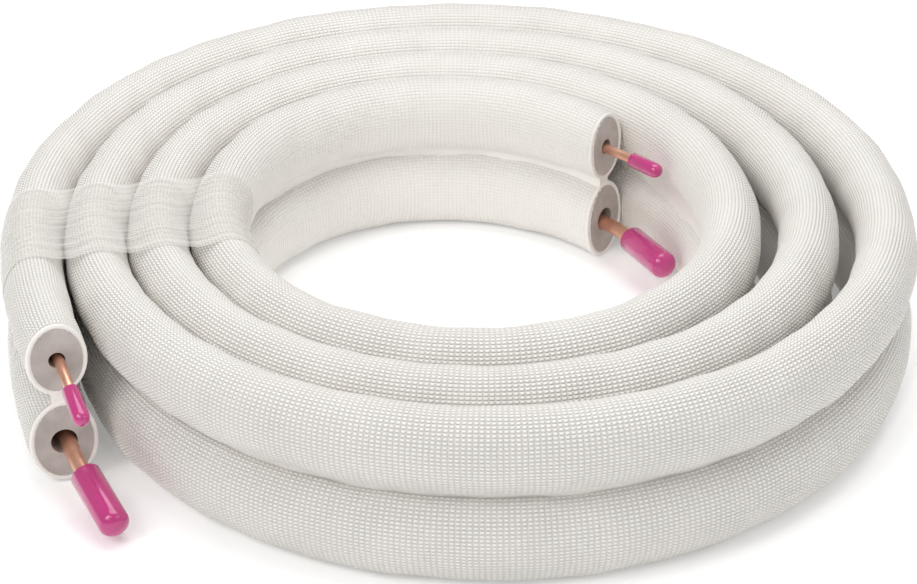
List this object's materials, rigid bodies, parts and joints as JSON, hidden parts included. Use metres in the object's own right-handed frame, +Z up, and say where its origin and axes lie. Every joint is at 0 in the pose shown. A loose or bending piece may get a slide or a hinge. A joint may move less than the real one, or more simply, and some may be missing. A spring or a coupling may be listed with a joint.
{
  "type": "mini split line set",
  "caption": "Twin insulated copper refrigerant pipes, bonded one above the other and wound into a flat coil, with push-on caps on the bare pipe ends and a clear film wrap.",
  "frame": {"origin": "on the floor, below the middle of the coil's bounding box", "axes": "+Z up along the coil's axis, +Y from the side with the outer pipe ends towards the back, +X to the right; the coil runs outwards counter-clockwise seen from above"},
  "size_m": [0.574, 0.6016, 0.1097],
  "materials": {
    "white_skin": "soft white polyethylene foam skin, embossed with a fine square grid",
    "grey_foam": "cut closed-cell foam, matte",
    "copper": "drawn copper, slightly dulled",
    "pink_vinyl": "glossy moulded vinyl",
    "clear_film": "clear stretch film"
  },
  "bodies": {
    "root": {"liquid_jacket": "white_skin", "suction_jacket": "white_skin", "bond_strip": "white_skin", "liquid_foam": "grey_foam", "suction_foam": "grey_foam", "liquid_pipe": "copper", "suction_pipe": "copper", "liquid_inner_cap": "pink_vinyl", "liquid_outer_cap": "pink_vinyl", "suction_inner_cap": "pink_vinyl", "suction_outer_cap": "pink_vinyl", "wrap_film": "clear_film"}
  },
  "joints": []
}
